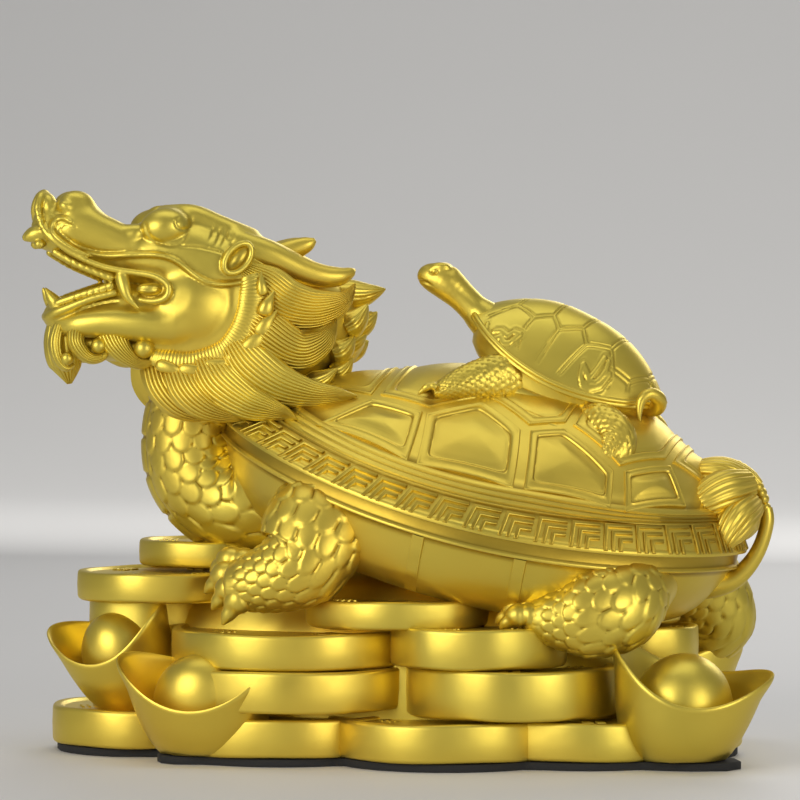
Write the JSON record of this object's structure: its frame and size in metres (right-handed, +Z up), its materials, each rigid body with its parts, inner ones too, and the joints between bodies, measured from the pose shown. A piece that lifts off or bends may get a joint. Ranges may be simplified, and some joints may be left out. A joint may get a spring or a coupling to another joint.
{
  "type": "dragon turtle figure",
  "caption": "Cast metal dragon turtle with open jaws and swept mane, carrying a small turtle on its shell and standing on a heap of coins and boat-shaped ingots on a thin dark pad.",
  "frame": {"origin": "centre of the figure's outline, on the surface that the pad rests on", "axes": "+Z up, -X towards the dragon's head, +X towards the tail, -Y the side that the head turns to"},
  "size_m": [0.265, 0.148, 0.195],
  "materials": {
    "gold": "satin",
    "pad": "matte"
  },
  "bodies": {
    "root": {"figure": "gold", "base_pad": "pad"}
  },
  "joints": []
}
